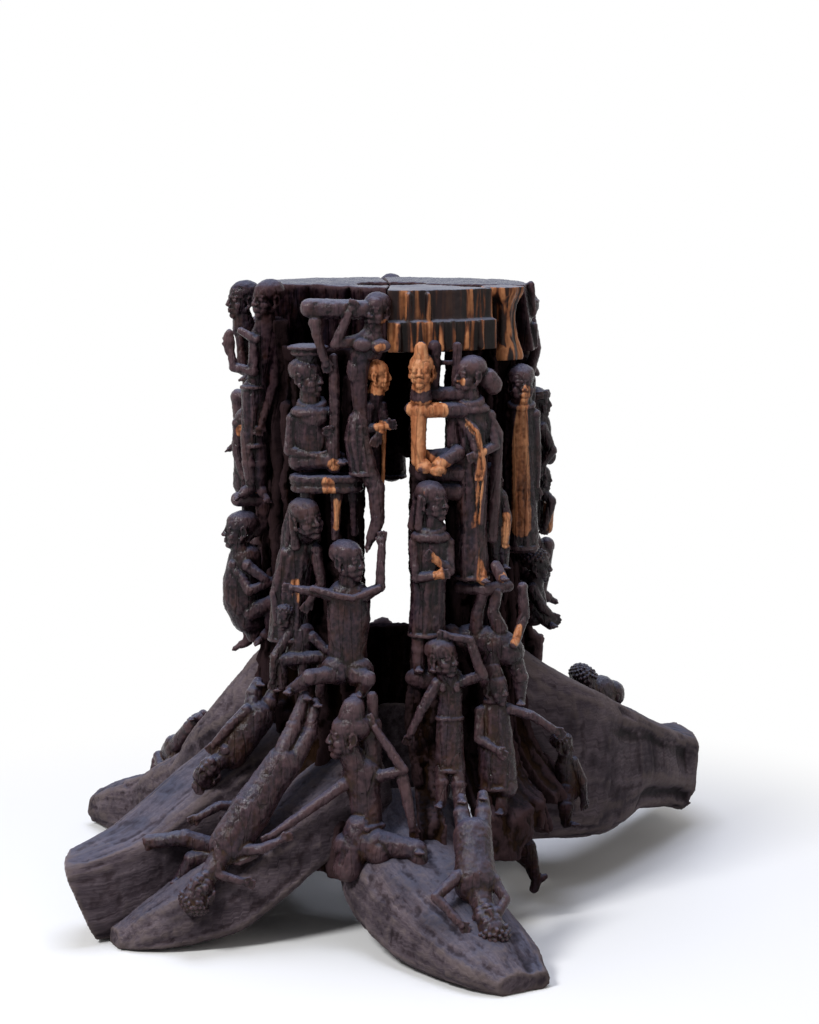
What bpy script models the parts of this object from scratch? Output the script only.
"""Root table base: a hollow, pierced ebony stump on its own roots, carved all round with figures.

Metres, +Z up. The floor is z = 0 and the trunk's axis is x = y = 0. Azimuth 0 is the front (-Y),
and azimuths grow towards the right (+X). Poses of the figures are in millimetres.
"""
import math

import bmesh
import bpy
from mathutils import Matrix, Vector

MM = 0.001

# Driving dimensions of the stump
TABLE_HEIGHT = 0.740
WALL_RADIUS = 0.158
WALL_THICKNESS = 0.028
UNDERSIDE = 0.066
RIGHT_UNDERSIDE = 0.120
COLLAR_HEIGHT = 0.130
FLARE = 0.075
FLARE_FADE = 0.070
FLARE_STEPS = (-0.3, 0.3, 1.0, 2.0, 3.2)
PLATE_THICKNESS = 0.040
DRUM_SKIRT = 0.030
DRUM_STEP = 0.006
RELIEF_HEIGHT = 0.108
HOLLOW_RADIUS = 0.042
SPOOL_HEIGHT = 0.085
SPOOL_RADIUS = 0.024
SLAB_DROP = 0.078
BACK_WINDOW_FOOT = 0.300
BACK_WINDOW_HEAD = 0.510
SILL_DROP = 0.068
GAP = 0.0004
OCTAGON = 1.09
FOOT_SPREAD = 1.9

# Reach of each root from the trunk's axis to its end
LEFT_SAWN_REACH = 0.405
LEFT_LOW_REACH = 0.393
FRONT_REACH = 0.422
RIGHT_SAWN_REACH = 0.519
REAR_LEFT_REACH = 0.496
BACK_REACH = 0.405

# Proportions of a carved body, in millimetres
ARM = (6.8, 5.2)
LEG = (10.0, 6.2)
HAND = 6.5
NECK = 8.0
DEPTH = 0.76
VOXEL = 4.5
FIGURE_FACES = 210
PERSON_FACES = 130
PERSON_OFF = -5
POSE_TRUNK = 0.610
STRETCH = (TABLE_HEIGHT - COLLAR_HEIGHT) / POSE_TRUNK

EBONY = (0.030, 0.021, 0.018, 1.0)
DUSTY_EBONY = (0.075, 0.058, 0.050, 1.0)
SAPWOOD = (0.420, 0.190, 0.070, 1.0)

for old in list(bpy.data.objects):
    bpy.data.objects.remove(old, do_unlink=True)

scene = bpy.context.scene
stump = bpy.data.objects.new("stump", None)
scene.collection.objects.link(stump)
solids = []


# Shared geometry
def outward(azimuth):
    angle = math.radians(azimuth)
    return Vector((math.sin(angle), -math.cos(angle), 0.0))


def across(azimuth):
    angle = math.radians(azimuth)
    return Vector((math.cos(angle), math.sin(angle), 0.0))


def wall_radius(z):
    rise = max(z - COLLAR_HEIGHT, 0.0)
    return WALL_RADIUS + FLARE * math.exp(-rise / FLARE_FADE)


def on_wall(azimuth, z, off):
    """A point off millimetres outside the wall, at height z in metres."""
    place = outward(azimuth) * (wall_radius(z) + off * MM)
    place.z = z
    return place


def on_root(azimuth, reach, share, z, beside):
    """A point at a share of a root's reach and beside millimetres to the right of its run, at height z."""
    place = outward(azimuth) * (reach * share) + across(azimuth) * (beside * MM)
    place.z = z
    return place


def below_top(drop):
    """A height on the trunk, as the drop in mm from the top of a trunk that is POSE_TRUNK long."""
    return TABLE_HEIGHT - drop * MM * STRETCH


def above_collar(rise):
    """A height on the trunk, as the rise in mm from the collar of a trunk that is POSE_TRUNK long."""
    return COLLAR_HEIGHT + rise * MM * STRETCH


def finish_material(name, color, roughness):
    material = bpy.data.materials.new(name)
    material.use_nodes = True
    shader = material.node_tree.nodes["Principled BSDF"]
    shader.inputs["Base Color"].default_value = color
    shader.inputs["Roughness"].default_value = roughness
    shader.inputs["Metallic"].default_value = 0.0
    return material


def mesh_object(name, bm):
    bmesh.ops.recalc_face_normals(bm, faces=bm.faces)
    bmesh.ops.triangulate(bm, faces=bm.faces)
    mesh = bpy.data.meshes.new(name)
    bm.to_mesh(mesh)
    bm.free()
    obj = bpy.data.objects.new(name, mesh)
    scene.collection.objects.link(obj)
    return obj


def apply_modifiers(obj):
    graph = bpy.context.evaluated_depsgraph_get()
    shaped = bpy.data.meshes.new_from_object(obj.evaluated_get(graph))
    obj.modifiers.clear()
    obj.data = shaped
    bm = bmesh.new()
    bm.from_mesh(shaped)
    bmesh.ops.triangulate(bm, faces=bm.faces)
    bm.to_mesh(shaped)
    bm.free()


def keep_largest_body(obj):
    """Drop the chips that a cut leaves loose, and keep the main body."""
    bm = bmesh.new()
    bm.from_mesh(obj.data)
    bm.verts.ensure_lookup_table()
    unseen = set(bm.verts)
    bodies = []
    while unseen:
        stack = [unseen.pop()]
        body = set(stack)
        while stack:
            vert = stack.pop()
            for edge in vert.link_edges:
                other = edge.other_vert(vert)
                if other in unseen:
                    unseen.discard(other)
                    body.add(other)
                    stack.append(other)
        bodies.append(body)
    if len(bodies) > 1:
        main = max(bodies, key=body_size)
        chips = [vert for vert in bm.verts if vert not in main]
        bmesh.ops.delete(bm, geom=chips, context="VERTS")
        bm.to_mesh(obj.data)
    bm.free()


def body_size(body):
    faces = {face for vert in body for face in vert.link_faces}
    return sum(face.calc_area() for face in faces)


def box_of(obj):
    points = [vert.co for vert in obj.data.vertices]
    low = Vector([min(point[axis] for point in points) for axis in range(3)])
    high = Vector([max(point[axis] for point in points) for axis in range(3)])
    return low, high


def grown_copy(obj):
    """The same solid with every point moved out by the gap, used as a cutter."""
    mesh = obj.data.copy()
    moves = [vert.normal * GAP for vert in mesh.vertices]
    for vert, move in zip(mesh.vertices, moves):
        vert.co += move
    cutter = bpy.data.objects.new(obj.name + "_cutter", mesh)
    cutter.hide_render = True
    cutter.display_type = "WIRE"
    scene.collection.objects.link(cutter)
    return cutter


def settle(obj, color, roughness=0.5, origin=None):
    """Cut the piece clear of every earlier piece that it meets, then give it its material."""
    low, high = box_of(obj)
    for other in solids:
        other_low, other_high = other["box"]
        apart = any(low[i] > other_high[i] + GAP or high[i] < other_low[i] - GAP for i in range(3))
        if apart:
            continue
        cut = obj.modifiers.new("clear_of_" + other["object"].name, "BOOLEAN")
        cut.operation = "DIFFERENCE"
        cut.object = other["cutter"]
        cut.use_self = True
        apply_modifiers(obj)
    keep_largest_body(obj)
    obj.data.materials.clear()
    obj.data.materials.append(finish_material(obj.name + "_wood", color, roughness))
    solids.append({"object": obj, "box": box_of(obj), "cutter": grown_copy(obj)})
    if origin is not None:
        obj.data.transform(Matrix.Translation(-origin))
        obj.location = origin
    obj.parent = stump
    return obj


# Roots: each is lofted through eight-cornered sections along its run
def root(name, reach, stations, lean=0.0, skew=0.0):
    """A station is its share of the reach, azimuth, width, underside and top (the last three in mm).

    Lean tips the end face back at its foot and skew turns it, both as mm at the edge of the face.
    """
    centres = [outward(azimuth) * (reach * share) for share, azimuth, *rest in stations]
    bm = bmesh.new()
    rings = []
    last = len(stations) - 1
    for i, (share, azimuth, width, low, high) in enumerate(stations):
        run = (centres[min(i + 1, last)] - centres[max(i - 1, 0)]).normalized()
        side = Vector((-run.y, run.x, 0.0))
        half = width * MM / 2
        ring = []
        for corner in range(8):
            angle = math.radians(22.5 + 45.0 * corner)
            lift = max(-1.0, min(1.0, OCTAGON * math.sin(angle)))
            widening = FOOT_SPREAD if lift == -1.0 else OCTAGON
            sideways = max(-1.0, min(1.0, widening * math.cos(angle)))
            shift = (lean * lift + skew * sideways) * MM if i == last else 0.0
            point = centres[i] + side * (half * sideways) + run * shift
            point.z = (low + (high - low) * (lift + 1.0) / 2) * MM
            ring.append(bm.verts.new(point))
        rings.append(ring)
    for first, second in zip(rings, rings[1:]):
        for corner in range(8):
            after = (corner + 1) % 8
            bm.faces.new((first[corner], first[after], second[after], second[corner]))
    bm.faces.new(rings[0])
    bm.faces.new(rings[-1])
    return settle(mesh_object(name, bm), DUSTY_EBONY, 0.65)


root("root_front", FRONT_REACH, [
    (0.30, 6, 165, 68, 160), (0.50, 8, 160, 24, 118), (0.68, 14, 138, 0, 92),
    (0.85, 17, 116, 0, 60), (0.95, 19, 92, 0, 40), (1.0, 20, 52, 0, 20)])
root("root_left_low", LEFT_LOW_REACH, [
    (0.33, -20, 118, 100, 215), (0.50, -30, 104, 88, 186), (0.68, -41, 96, 18, 118),
    (0.86, -49, 86, 0, 66), (0.97, -53, 56, 0, 30), (1.0, -53.5, 30, 0, 16)])
root("root_left_sawn", LEFT_SAWN_REACH, [
    (0.30, -66, 108, 70, 255), (0.48, -64, 112, 42, 215), (0.68, -62, 106, 10, 165),
    (0.86, -61, 94, 0, 118), (1.0, -61, 82, 0, 96)], lean=20, skew=23)
root("root_right_sawn", RIGHT_SAWN_REACH, [
    (0.25, 92, 128, 62, 320), (0.38, 99, 118, 56, 262), (0.50, 111, 112, 40, 222),
    (0.64, 120, 106, 56, 190), (0.82, 127, 98, 34, 150), (1.0, 131.5, 90, 12, 124)], lean=19, skew=38)
root("root_rear_left", REAR_LEFT_REACH, [
    (0.28, -100, 118, 64, 318), (0.40, -106, 112, 60, 236), (0.52, -118, 104, 30, 158),
    (0.75, -126, 90, 0, 90), (0.93, -128, 80, 0, 62), (1.0, -128.5, 50, 0, 42)])
root("root_back", BACK_REACH, [
    (0.32, 172, 128, 64, 205), (0.55, 171, 108, 30, 140), (0.80, 170, 90, 0, 86),
    (0.96, 169, 60, 0, 50), (1.0, 169, 32, 0, 28)])


# Top plates: sections of radius and height swept round the axis
def swept(name, azimuths, section):
    """section(azimuth) gives the closed outline, as pairs of radius and height in metres."""
    bm = bmesh.new()
    rings = []
    for azimuth in azimuths:
        ring = []
        for radius, z in section(azimuth):
            point = outward(azimuth) * radius
            ring.append(bm.verts.new((point.x, point.y, z)))
        rings.append(ring)
    count = len(rings[0])
    for first, second in zip(rings, rings[1:]):
        for i in range(count):
            after = (i + 1) % count
            bm.faces.new((first[i], first[after], second[after], second[i]))
    bm.faces.new(rings[0])
    bm.faces.new(rings[-1])
    return mesh_object(name, bm)


def spread(start, end, steps):
    return [start + (end - start) * i / steps for i in range(steps + 1)]


def drum_section(azimuth):
    rim = WALL_RADIUS - DRUM_STEP
    shoulder = TABLE_HEIGHT - PLATE_THICKNESS + DRUM_STEP
    foot = TABLE_HEIGHT - PLATE_THICKNESS - DRUM_SKIRT
    ledge = WALL_RADIUS - 1.5 * WALL_THICKNESS
    return [(HOLLOW_RADIUS, TABLE_HEIGHT), (rim, TABLE_HEIGHT), (rim, shoulder), (WALL_RADIUS, shoulder),
            (WALL_RADIUS, foot), (ledge, foot), (ledge, TABLE_HEIGHT - PLATE_THICKNESS),
            (HOLLOW_RADIUS, TABLE_HEIGHT - PLATE_THICKNESS)]


def plate_section(rim_offset):
    def section(azimuth):
        rim = WALL_RADIUS + rim_offset(azimuth) * MM
        under = TABLE_HEIGHT - PLATE_THICKNESS
        return [(HOLLOW_RADIUS, TABLE_HEIGHT), (rim, TABLE_HEIGHT), (rim, under), (HOLLOW_RADIUS, under)]
    return section


def between(marks, azimuth):
    """The value at an azimuth on straight lines between marks of (azimuth, value)."""
    for (start, first), (end, second) in zip(marks, marks[1:]):
        if azimuth <= end:
            return first + (second - first) * (azimuth - start) / (end - start)
    return marks[-1][1]


def left_rim(azimuth):
    """The left plate is cut back to a straight face behind the front left figures."""
    return between([(-176, 0), (-150, 3), (-114, 8), (-106, -22), (-90, -66), (-45, -90), (-3, -68)], azimuth)


def back_rim(azimuth):
    return -2.0


def slab_section(azimuth):
    """The right plate turns down into a slab that hangs outside the wall and thins out to the back."""
    rim = WALL_RADIUS + 4 * MM
    under = TABLE_HEIGHT - PLATE_THICKNESS
    depth = between([(76, 1.0), (90, 0.95), (104, 0.25), (128, 0.1)], azimuth)
    foot = under - (SLAB_DROP - PLATE_THICKNESS) * depth
    inner = WALL_RADIUS - WALL_THICKNESS - 2 * MM
    return [(HOLLOW_RADIUS, TABLE_HEIGHT), (rim, TABLE_HEIGHT), (rim + 4 * MM, under), (rim + 12 * MM, foot),
            (inner, foot), (inner, under), (HOLLOW_RADIUS, under)]


settle(swept("top_drum_front", spread(-1.5, 50, 5), drum_section), SAPWOOD)
settle(swept("top_plate_left", [-175, -150, -130, -114, -106, -90, -68, -45, -24, -3],
             plate_section(left_rim)), EBONY)
settle(swept("top_plate_right", [76, 90, 104, 116, 128], slab_section), EBONY)
settle(swept("top_plate_back", spread(130, 183, 4), plate_section(back_rim)), EBONY)


# The waisted post that fills the top's outline between the drum and the right plate
def right_post():
    bm = bmesh.new()
    foot = TABLE_HEIGHT - SPOOL_HEIGHT
    marks = [(0.0, 1.0), (0.12, 0.96), (0.45, 0.62), (0.75, 0.66), (0.92, 0.98), (1.0, 1.02)]
    centre = outward(63) * (WALL_RADIUS - SPOOL_RADIUS * 0.55)
    rings = []
    for share, width in marks:
        ring = []
        for step in range(12):
            angle = 2 * math.pi * step / 12
            radius = SPOOL_RADIUS * width
            ring.append(bm.verts.new((centre.x + radius * math.cos(angle),
                                      centre.y + radius * math.sin(angle),
                                      foot + SPOOL_HEIGHT * share)))
        rings.append(ring)
    for first, second in zip(rings, rings[1:]):
        for step in range(12):
            after = (step + 1) % 12
            bm.faces.new((first[step], first[after], second[after], second[step]))
    bm.faces.new(rings[0])
    bm.faces.new(rings[-1])
    return settle(mesh_object("top_post_right", bm), SAPWOOD)


right_post()


# Figures: tapered limbs between joints, run together and trimmed to their carriers
def ellipsoid(bm, centre, radii, turn):
    made = bmesh.ops.create_icosphere(bm, subdivisions=2, radius=1.0)
    stretch = Matrix.Diagonal((radii[0], radii[1], radii[2], 1.0))
    bmesh.ops.transform(bm, matrix=Matrix.Translation(centre) @ turn @ stretch, verts=made["verts"])
    return made["verts"]


def limb(bm, points, turn, depth=1.0):
    """Hulls over neighbouring balls; a point is its place in metres and its radius in millimetres."""
    for (first, first_radius), (second, second_radius) in zip(points, points[1:]):
        part = bmesh.new()
        for place, radius in ((first, first_radius), (second, second_radius)):
            ellipsoid(part, place, (radius * MM, radius * depth * MM, radius * MM), turn)
        hull = bmesh.ops.convex_hull(part, input=part.verts)
        bmesh.ops.delete(part, geom=hull["geom_interior"], context="VERTS")
        piece = bpy.data.meshes.new("limb")
        part.to_mesh(piece)
        part.free()
        bm.from_mesh(piece)
        bpy.data.meshes.remove(piece)


def tapered(joints, radii):
    """Give joints without a radius of their own an even taper."""
    last = max(len(joints) - 1, 1)
    shaped = []
    for i, joint in enumerate(joints):
        radius = joint[3] if len(joint) > 3 else radii[0] + (radii[1] - radii[0]) * i / last
        shaped.append((joint[0], joint[1], joint[2], radius))
    return shaped


def figure(name, origin, turn=0, head=None, torso=(), robe=(), arms=(), legs=(), rods=(),
           faces=FIGURE_FACES, tall=STRETCH):
    """Joints are (across, up, out) in mm from the origin, in a plane that faces the azimuth turn."""
    right = across(turn)
    front = outward(turn)
    facing = Matrix.Rotation(math.radians(turn), 4, "Z")

    def place(joint):
        rise = Vector((0, 0, joint[1] * MM * tall))
        return origin + right * (joint[0] * MM) + front * (joint[2] * MM) + rise

    def line(joints):
        return [(place(joint), joint[3]) for joint in joints]

    bm = bmesh.new()
    if head:
        length = head[3]
        look = facing @ Matrix.Rotation(math.radians(head[4]), 4, "Z")
        look = look @ Matrix.Rotation(math.radians(-head[5]), 4, "X")
        radii = (0.37 * length * MM, 0.44 * length * MM, 0.5 * length * MM)
        ellipsoid(bm, place(head), radii, look)
        if torso or robe:
            chest = (torso or robe)[0]
            limb(bm, line([(*head[:3], NECK), (*chest[:3], NECK)]), facing)
    if torso:
        limb(bm, line(torso), facing, DEPTH)
    if robe:
        limb(bm, line(robe), facing, DEPTH)
    for arm in arms:
        shaped = tapered(arm, ARM)
        limb(bm, line(shaped), facing)
        limb(bm, line([shaped[-1], (*shaped[-1][:3], HAND)]), facing)
    for leg in legs:
        limb(bm, line(tapered(leg, LEG)), facing)
    for rod in rods:
        limb(bm, line(rod), facing)
    obj = mesh_object(name, bm)
    fuse = obj.modifiers.new("fuse", "REMESH")
    fuse.mode = "VOXEL"
    fuse.voxel_size = VOXEL * MM
    apply_modifiers(obj)
    thin = obj.modifiers.new("facet", "DECIMATE")
    triangles = sum(len(face.vertices) - 2 for face in obj.data.polygons)
    thin.ratio = min(1.0, faces / triangles)
    thin.use_collapse_triangulate = True
    apply_modifiers(obj)
    return obj


def carve(name, origin, turn=0, color=EBONY, **pose):
    return settle(figure(name, origin, turn, **pose), color, origin=origin)


# Three stock poses serve the sides, the back and the small people in the walls
def standing(side):
    return {"head": (0, 100, 5, 42, 20 * side, 0),
            "torso": [(0, 62, 2, 19), (0, 20, 3, 15), (0, 0, 3, 17)],
            "robe": [(0, 2, 3, 18), (0, -45, 4, 18), (0, -92, 5, 20)],
            "arms": [[(-18 * side, 60, 5), (-32 * side, 86, 7), (-16 * side, 122, 8)],
                     [(18 * side, 60, 5), (27 * side, 26, 10), (8 * side, 6, 20)]],
            "rods": [[(0, 124, 5, 13), (0, 134, 5, 15)]]}


def seated(side):
    return {"head": (2 * side, 85, 8, 42, 25 * side, 8),
            "torso": [(0, 46, 3, 20), (0, 0, 3, 18)],
            "arms": [[(-18, 46, 6), (-28, 18, 14), (-8, 12, 30)], [(18, 46, 6), (28, 18, 14), (8, 14, 30)]],
            "legs": [[(-10, -6, 8), (-24, 8, 28), (-20, -44, 26), (-20, -50, 34)],
                     [(10, -6, 8), (24, 8, 28), (20, -44, 26), (20, -50, 34)]],
            "rods": [[(0, -44, 26, 13), (0, 4, 28, 15)], [(-16, -24, 2, 14), (16, -24, 2, 14)]]}


def crouching(side):
    return {"head": (4 * side, 60, 14, 42, 30 * side, 15),
            "torso": [(0, 32, 6, 20), (0, -10, 4, 22)],
            "arms": [[(-18, 32, 10), (-28, 4, 24), (0, -4, 34)], [(18, 32, 10), (28, 4, 24), (4, 2, 34)]],
            "legs": [[(-12, -18, 10), (-22, 16, 28), (-18, -44, 22), (-18, -50, 32)],
                     [(12, -18, 10), (22, 16, 28), (18, -44, 22), (18, -50, 32)]],
            "rods": [[(-14, -22, 14, 14), (14, -22, 14, 14)], [(-16, 12, 16, 12), (16, 12, 16, 12)]]}


# Wall staves: the pierced shell of the trunk, standing on the roots
def stave(name, start, end, foot=UNDERSIDE, head=TABLE_HEIGHT - PLATE_THICKNESS - GAP, people=()):
    """People stand out of the wall, as (pose, azimuth, height in metres, size beside a free figure)."""
    rises = [COLLAR_HEIGHT + FLARE_FADE * share for share in FLARE_STEPS]
    levels = [z for z in rises if foot + 0.02 < z < head - 0.02]
    heights = [foot] + levels + [head]

    def section(azimuth):
        outer = [(wall_radius(z), z) for z in heights]
        inner = [(wall_radius(z) - WALL_THICKNESS, z) for z in reversed(heights)]
        return outer + inner
    wall = swept(name, spread(start, end, 3), section)
    for pose, azimuth, z, size in people:
        place = on_wall(azimuth, z, PERSON_OFF)
        person = figure(name + "_person", place, azimuth, faces=PERSON_FACES, **pose)
        shrink = Matrix.Translation(place) @ Matrix.Scale(size, 4) @ Matrix.Translation(-place)
        person.data.transform(shrink)
        join = wall.modifiers.new("person", "BOOLEAN")
        join.operation = "UNION"
        join.object = person
        apply_modifiers(wall)
        bpy.data.objects.remove(person, do_unlink=True)
    return settle(wall, EBONY, 0.7)


stave("wall_front_left", -58, -13)
stave("wall_front_strip", 9, 16.5)
stave("wall_front_right", 28, 60)
stave("wall_right", 63, 114, foot=RIGHT_UNDERSIDE, people=[(seated(1), 100, above_collar(170), 0.7)])
stave("wall_back_right", 117, 149, people=[
    (standing(1), 148, below_top(165), 0.7), (crouching(-1), 149, above_collar(330), 0.6),
    (seated(-1), 143, above_collar(60), 0.8)])
stave("wall_back_upper", 166, 193, foot=BACK_WINDOW_HEAD)
stave("wall_back_lower", 149.2, 195.8, head=BACK_WINDOW_FOOT, people=[
    (seated(-1), 160, BACK_WINDOW_FOOT - SILL_DROP, 0.8),
    (crouching(1), 183, BACK_WINDOW_FOOT - SILL_DROP, 0.85)])
stave("wall_back_left", 196, 230, people=[
    (crouching(1), 200, above_collar(350), 0.7), (standing(-1), 225.5, above_collar(390), 0.55),
    (seated(1), 214, above_collar(98), 0.8)])
stave("wall_left", -127, -66, people=[
    (standing(1), -97, above_collar(370), 0.72), (crouching(1), -100, above_collar(210), 0.8)])


# The stool of the seated pounder is a turned seat on three legs
carve("stool", on_wall(-25, above_collar(392), 12), rods=[
    [(-26, 0, 4, 15), (24, 0, 4, 15)], [(-8, 0, 10, 15), (6, 0, 10, 15)],
    [(-26, -10, 4, 6), (-24, -56, 4, 5)], [(10, -10, 8, 6), (8, -60, 8, 5)],
    [(28, -10, 4, 6), (30, -58, 2, 5)]])

# Upper tier at the front, hung from the height of the top
carve("pounder", on_wall(-32, below_top(184), 12), head=(-5, 85, 6, 46, 60, 0),
      torso=[(0, 38, 3, 25), (0, -4, 5, 20)],
      arms=[[(-23, 38, 5), (-25, 2, 10), (8, 4, 20)], [(22, 38, 5), (24, 8, 12), (22, 22, 20)]],
      legs=[[(-16, -10, 8), (20, -8, 18)], [(-4, -10, 4), (30, -8, 8)]],
      rods=[[(-12, 122, 4, 13), (4, 117, 6, 13)], [(25, 108, 12, 4.5), (26, 30, 18, 5), (24, -14, 18, 6)]])
carve("log_bearer", on_wall(-9, below_top(101), 4), head=(8, 78, 2, 42, -25, 0),
      torso=[(2, 44, 6, 20), (-9, 30, 4, 12), (-11, -2, 4, 9), (-10, -40, 5, 8), (-13, -66, 7, 12)],
      legs=[[(-12, -70, 8), (8, -112, 10), (10, -160, 10), (3, -178, 12, 10)]],
      arms=[[(-12, 48, 8), (-37, 42, 16), (-22, 78, 16)], [(-60, 74, 10), (-57, 52, 10), (-50, 25, 8)]],
      rods=[[(-68, 82, 10, 12), (-8, 80, 8, 12)]])
carve("elder_in_profile", on_wall(-6, below_top(143), -6), head=(0, 47, 4, 40, 85, 0),
      torso=[(-4, 15, 2, 12), (-5, -20, 2, 12), (-2, -60, 0, 9), (0, -100, -2, 7)],
      arms=[[(-8, 12, 8), (-14, -12, 14), (6, -8, 16)]], color=SAPWOOD)
carve("leaning_matron", on_wall(-73.5, below_top(133), 10), head=(5, 108, 2, 42, -50, 0),
      torso=[(2, 70, 4, 18), (0, 30, 4, 15), (0, 0, 5, 16)], robe=[(0, 10, 5, 16), (0, -44, 5, 14)],
      arms=[[(-12, 72, 8), (-4, 36, 13), (-23, 36, 10), (-27, 74, 8)],
            [(11, 72, 8), (14, 20, 12), (5, -32, 16)]],
      legs=[[(-5, -42, 5), (-5, -75, 6), (-3, -104, 5), (-12, -110, 10)], [(5, -42, 4), (6, -104, 3)]],
      rods=[[(-20, -120, -4, 9), (14, -120, -6, 9)]])
carve("listener", on_wall(-92, below_top(74), 2), head=(-8, 42, 4, 44, -70, 0),
      torso=[(-4, 0, 2, 9), (6, -38, -6, 14), (8, -60, -8, 12)],
      arms=[[(0, -36, 8), (-17, -26, 16), (-20, 14, 12)]])
carve("skirted_mother", on_wall(33.5, below_top(225), 9), head=(-4, 128, 6, 45, -55, 0),
      torso=[(0, 84, 3, 21), (2, 50, 4, 20)],
      robe=[(0, 50, 3, 20), (0, -50, 4, 18), (0, -96, 4, 20)],
      arms=[[(-16, 84, 7), (4, 58, 16), (5, 22, 20)], [(21, 82, 3), (25, 48, 8), (8, 42, 18)]],
      legs=[[(10, -98, 10, 7), (12, -110, 18, 7)], [(30, -98, 4, 8), (34, -108, 10, 8)]],
      rods=[[(18, 124, -2, 13), (23, 120, -4, 12)], [(-14, -116, 2, 8), (42, -116, -6, 8)]])
carve("climber", on_wall(11, below_top(168), 5), head=(4, 76, 0, 46, -10, 0), color=SAPWOOD,
      torso=[(3, 48, 0, 10), (2, 36, 0, 11)],
      legs=[[(50, 32, -6, 9), (0, 33, 2, 9), (0, -26, 2, 8.5), (20, -32, 8, 7)]],
      rods=[[(44, -18, -2, 9), (22, -36, 4, 8)], [(4, 90, 0, 8), (4, 102, 0, 9)]])
carve("robed_elder", on_wall(64, below_top(213), 13), head=(-2, 100, 2, 46, 10, 0), color=SAPWOOD,
      robe=[(-2, 68, 2, 17), (-2, 0, 4, 17), (0, -86, 4, 19)],
      arms=[[(-13, 66, 5), (-15, 20, 10), (-6, -10, 18)], [(13, 66, 5), (15, 20, 8), (7, -10, 18)]])
carve("right_edge_nurse", on_wall(83.5, below_top(178), 18), head=(0, 38, 0, 36, 75, 0),
      torso=[(2, 12, 0, 14), (4, -25, -2, 15)], arms=[[(4, 8, 10), (14, -18, 14), (6, -36, 14)]])
carve("right_edge_drummer", on_wall(84, below_top(252), 20), head=(2, 22, 4, 32, 60, 0),
      torso=[(-6, 2, 0, 14), (-6, -30, -2, 14)], arms=[[(2, 6, 6), (14, -6, 10), (7, -32, 8)]])

# Middle tier at the front
carve("left_sitter", on_wall(-80.5, above_collar(412), 9), head=(3, 72, 2, 40, -60, 0),
      torso=[(-4, 36, 0, 17), (-6, 0, -2, 16), (-6, -38, 0, 18)],
      arms=[[(-2, 32, 10), (10, -12, 18), (24, 22, 18)]],
      legs=[[(-6, -38, 4), (20, -46, 16), (12, -86, 14), (4, -94, 18)],
            [(-8, -42, -4), (-4, -60, 4), (-2, -84, 4)]])
carve("left_croucher", on_wall(-74, above_collar(266), 19), head=(-8, 55, 0, 44, -80, 0),
      torso=[(-2, 16, 0, 19), (-2, -20, 2, 25), (2, -46, 0, 20)],
      arms=[[(2, 14, 14), (20, -2, 20), (34, -8, 18)]],
      legs=[[(5, -42, 10), (30, -30, 18), (30, -64, 12), (22, -70, 14)]],
      rods=[[(8, -62, -4, 14), (8, -72, -4, 11)]])
carve("veiled_woman", on_wall(-37.5, above_collar(303), 15), head=(12, 46, 10, 44, 35, 0),
      robe=[(4, 20, 2, 20), (-8, -30, 2, 24), (-12, -84, 2, 24)],
      arms=[[(20, 8, 12), (25, -30, 18), (14, -46, 18)]],
      rods=[[(-6, 54, 2, 9), (-14, 18, 2, 10)]])
carve("blessing_man", on_wall(-15.5, above_collar(238), 22), head=(0, 67, 4, 48, 55, 0),
      torso=[(0, 22, 0, 23), (-1, -30, 0, 22), (-8, -56, -2, 26), (6, -58, -2, 24)],
      arms=[[(-20, 28, 5), (-46, 35, 10)], [(18, 28, 7), (36, 38, 10), (38, 94, 2)]],
      legs=[[(-10, -62, 8), (-66, -80, 6)], [(10, -60, 8), (12, -74, 12)]])
carve("shore_child", on_wall(-35, above_collar(190), 18), head=(-18, 46, 6, 30, -30, 10),
      torso=[(2, 24, 0, 16), (-4, -2, 2, 17)],
      arms=[[(-14, 26, 6), (-30, 2, 14), (-32, -24, 14)]],
      legs=[[(-24, -4, 12, 8), (30, 0, 12, 8)], [(-22, -6, 12, 7), (-22, -30, 12, 6)],
            [(3, -6, 12, 7), (3, -38, 10, 6)], [(24, -4, 10, 7), (22, -42, 10, 6)]])
carve("market_woman", on_wall(15.5, above_collar(307), 8), head=(3, 65, 8, 46, 50, 0),
      torso=[(0, 18, 3, 22), (0, -20, 4, 21)],
      robe=[(-2, -22, 4, 21), (-3, -75, 3, 20), (-6, -140, 4, 19)],
      arms=[[(-18, 16, 8), (-15, -20, 16), (5, -18, 22)], [(20, 16, 4), (20, -14, 12), (6, 2, 22)]],
      rods=[[(-14, 62, 2, 8), (-18, 36, 2, 7)]])
carve("skirt_child", on_wall(44, above_collar(352), 12), head=(-2, 42, 4, 32, 60, 0),
      torso=[(4, 18, 2, 12), (6, -18, 2, 12)], arms=[[(10, 18, 4), (15, -6, 10), (12, -32, 10)]],
      legs=[[(2, -20, 4), (1, -68, 6)], [(9, -20, 4), (12, -62, 6)]])
carve("right_edge_watcher", on_wall(86, above_collar(261), 14), head=(2, 10, 2, 40, 85, 0),
      torso=[(-4, -18, 0, 16), (-2, -46, -2, 18)], legs=[[(-2, -38, 4), (14, -54, 6), (18, -60, 8)]])
carve("carrier_on_knees", on_wall(38, above_collar(200), 18), head=(-42, 16, 6, 34, -30, 20),
      torso=[(-18, 8, 0, 19), (12, 0, 2, 21)],
      legs=[[(26, 0, 2), (36, -36, 6), (38, -66, 4)],
            [(-14, 20, 6, 7), (-6, 58, 6, 7), (8, 62, 6, 7), (14, 22, 6, 7)]])

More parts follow.
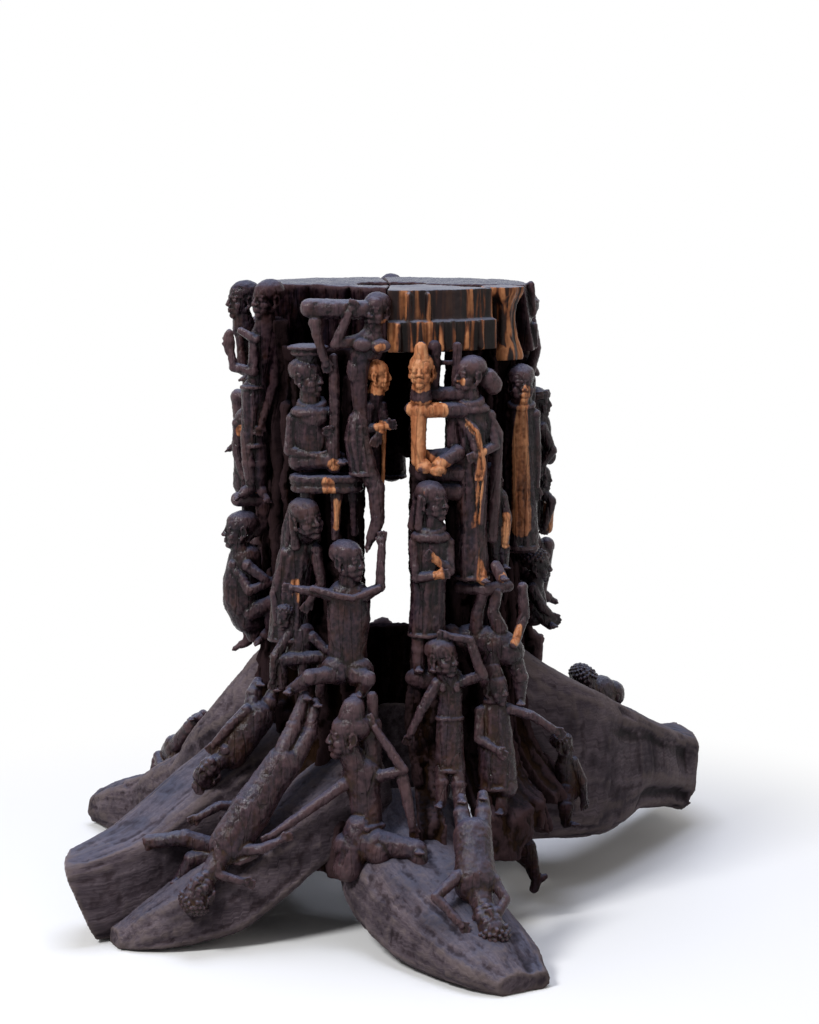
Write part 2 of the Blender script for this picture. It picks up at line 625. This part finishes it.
# Lower tier at the front, leaning on the flare of the roots
carve("master_carver", on_wall(-7.5, above_collar(34), 8), head=(-24, 76, 4, 58, -80, 0),
      torso=[(0, 32, 0, 26), (-2, 0, 2, 25), (0, -30, 6, 27)],
      arms=[[(22, 34, 4), (46, 34, 10), (30, 76, 8), (12, 90, 4)], [(38, 30, 8), (54, -26, 16)],
            [(-28, 20, 8), (-70, -8, 20), (-110, -34, 30)]],
      legs=[[(-26, -46, 16, 15), (20, -50, 24, 15), (68, -52, 34, 13)],
            [(68, -52, 34, 12), (70, -100, 46, 9)]],
      rods=[[(4, 36, -6, 14), (4, 84, -8, 13)], [(-12, 92, -6, 7), (-14, 116, -6, 7)],
            [(6, 92, -8, 7), (6, 118, -8, 7)]])
carve("dancer_hand_on_head", on_wall(21, above_collar(116), 14), head=(-8, 77, 6, 46, 50, 0),
      torso=[(0, 48, 0, 16), (0, 4, 2, 15)], robe=[(0, 5, 2, 16), (0, -48, 10, 17)],
      arms=[[(13, 48, 4), (37, 58, 10), (22, 98, 8), (-4, 102, 8)],
            [(-14, 46, 4), (-38, 10, 10), (-46, -12, 10)]],
      legs=[[(-9, -46, 12, 8), (-10, -88, 30, 7)], [(10, -46, 12, 8), (10, -90, 32, 7)]])
carve("capped_merchant", on_wall(37.5, above_collar(82), 14), head=(1, 70, 4, 40, 45, 0),
      robe=[(0, 44, 0, 19), (2, 0, 3, 22), (4, -34, 8, 23)],
      arms=[[(16, 48, 4), (42, 40, 6), (72, 20, 2)], [(-16, 44, 6), (-18, 14, 14), (2, 4, 24)]],
      legs=[[(-8, -40, 8, 8), (-10, -72, 20, 7)], [(9, -40, 8, 8), (8, -70, 20, 7)]],
      rods=[[(0, 86, 3, 12), (0, 102, 2, 10)]])
carve("right_flank_child", on_wall(73, above_collar(35), 10), 35, head=(0, 26, 2, 32, 30, 0),
      torso=[(4, 0, 0, 13), (8, -30, 2, 15)], arms=[[(12, 6, 6), (20, -16, 12), (24, -40, 10)]],
      legs=[[(0, -28, 6), (-8, -44, 16), (-6, -64, 14)]])

# Figures that lie on the roots keep their length whatever the table's height
carve("sleeper_left_low", on_root(-41, LEFT_LOW_REACH, 0.6875, 0.155, 24),
      head=(-57, -82, 46, 42, -20, 40),
      torso=[(36, 52, -8, 19), (0, 2, 10, 23), (-24, -34, 22, 22)],
      arms=[[(-10, -34, 28), (30, -26, 28)], [(-26, -38, 30), (-32, -64, 44), (-8, -70, 42)]],
      legs=[[(36, 58, -8), (52, 92, -24), (62, 124, -40)], [(46, 52, -10), (66, 84, -26), (72, 116, -40)]],
      tall=1.0)
carve("sleeper_left_sawn", on_root(-63.5, LEFT_SAWN_REACH, 0.535, 0.224, 54),
      head=(-42, -40, 10, 38, -40, 20),
      torso=[(14, 20, -10, 17), (-16, -20, -2, 18)],
      arms=[[(2, 30, -2), (-32, -4, 8)], [(-22, -15, 8), (-60, -62, 10), (-40, -84, 14)]],
      legs=[[(20, 20, -12), (34, 48, -24)]], tall=1.0)
carve("relief_left_sawn", on_wall(-50.5, RELIEF_HEIGHT, 73),
      torso=[(62, 34, -30, 15), (44, 4, -4, 15)],
      legs=[[(42, -6, 2), (0, 8, 4), (-42, 5, 4), (-52, -24, 2)], [(44, -12, 6), (8, -16, 8), (-8, -40, 10)]],
      tall=1.0)
carve("sleeper_front", on_root(15.6, FRONT_REACH, 0.78, 0.098, 2), head=(16, -36, 28, 44, 30, 50),
      torso=[(0, 44, -34, 20), (2, 2, -2, 23)],
      arms=[[(-18, 10, 6), (-40, -8, 22), (-18, -34, 32)]],
      legs=[[(-8, 48, -36), (-12, 76, -66)], [(10, 48, -36), (12, 80, -66)]], tall=1.0)
carve("sleeper_rear_left", on_root(-125, REAR_LEFT_REACH, 0.72, 0.098, -6), -60,
      head=(-48, -22, -12, 44, -30, 30),
      torso=[(38, 34, 10, 20), (-8, 2, -2, 22)],
      arms=[[(-10, 8, 14), (-2, -20, 24), (-30, -34, 20)]],
      legs=[[(44, 36, 14), (78, 70, 8), (92, 84, 2)]], tall=1.0)
carve("rider_right_sawn", on_root(116, RIGHT_SAWN_REACH, 0.577, 0.188, 31), 120,
      head=(-6, 34, -16, 44, -60, 20),
      torso=[(0, 6, -22, 20), (10, -14, -20, 20)],
      arms=[[(-14, 8, -10), (-26, -10, 0), (-14, -24, 8)]],
      legs=[[(8, -16, -8), (12, 8, 14), (14, -30, 30)]], tall=1.0)
carve("hanging_hand", on_wall(48.5, UNDERSIDE, -22), rods=[
    [(-4, 20, 0, 16), (4, 6, 2, 10)], [(4, 6, 2, 9), (12, -16, 4, 7)], [(12, -16, 4, 7), (22, -12, 4, 4)],
    [(12, -16, 4, 8), (10, -26, 6, 7)]], faces=120, tall=1.0)


# Figures on the sides and back
BACK_OFF = 9
BACK_FIGURES = [
    ("water_bearer_right", standing, 109, below_top(165), 1),
    ("drummer_back_right", seated, 134, below_top(160), -1),
    ("water_bearer_back", standing, 180, below_top(150), -1),
    ("water_bearer_left", standing, 214, below_top(168), 1),
    ("nurse_rear_left", seated, 244, below_top(150), 1),
    ("croucher_right", crouching, 112, above_collar(270), -1),
    ("bearer_back_right", standing, 134, above_collar(230), 1),
    ("drummer_back_left", seated, 213, above_collar(270), -1),
    ("croucher_rear_left", crouching, 243, above_collar(260), 1),
]
for figure_name, pose, azimuth, height, side in BACK_FIGURES:
    carve(figure_name, on_wall(azimuth, height, BACK_OFF), azimuth, **pose(side))

for solid in solids:
    bpy.data.objects.remove(solid["cutter"], do_unlink=True)
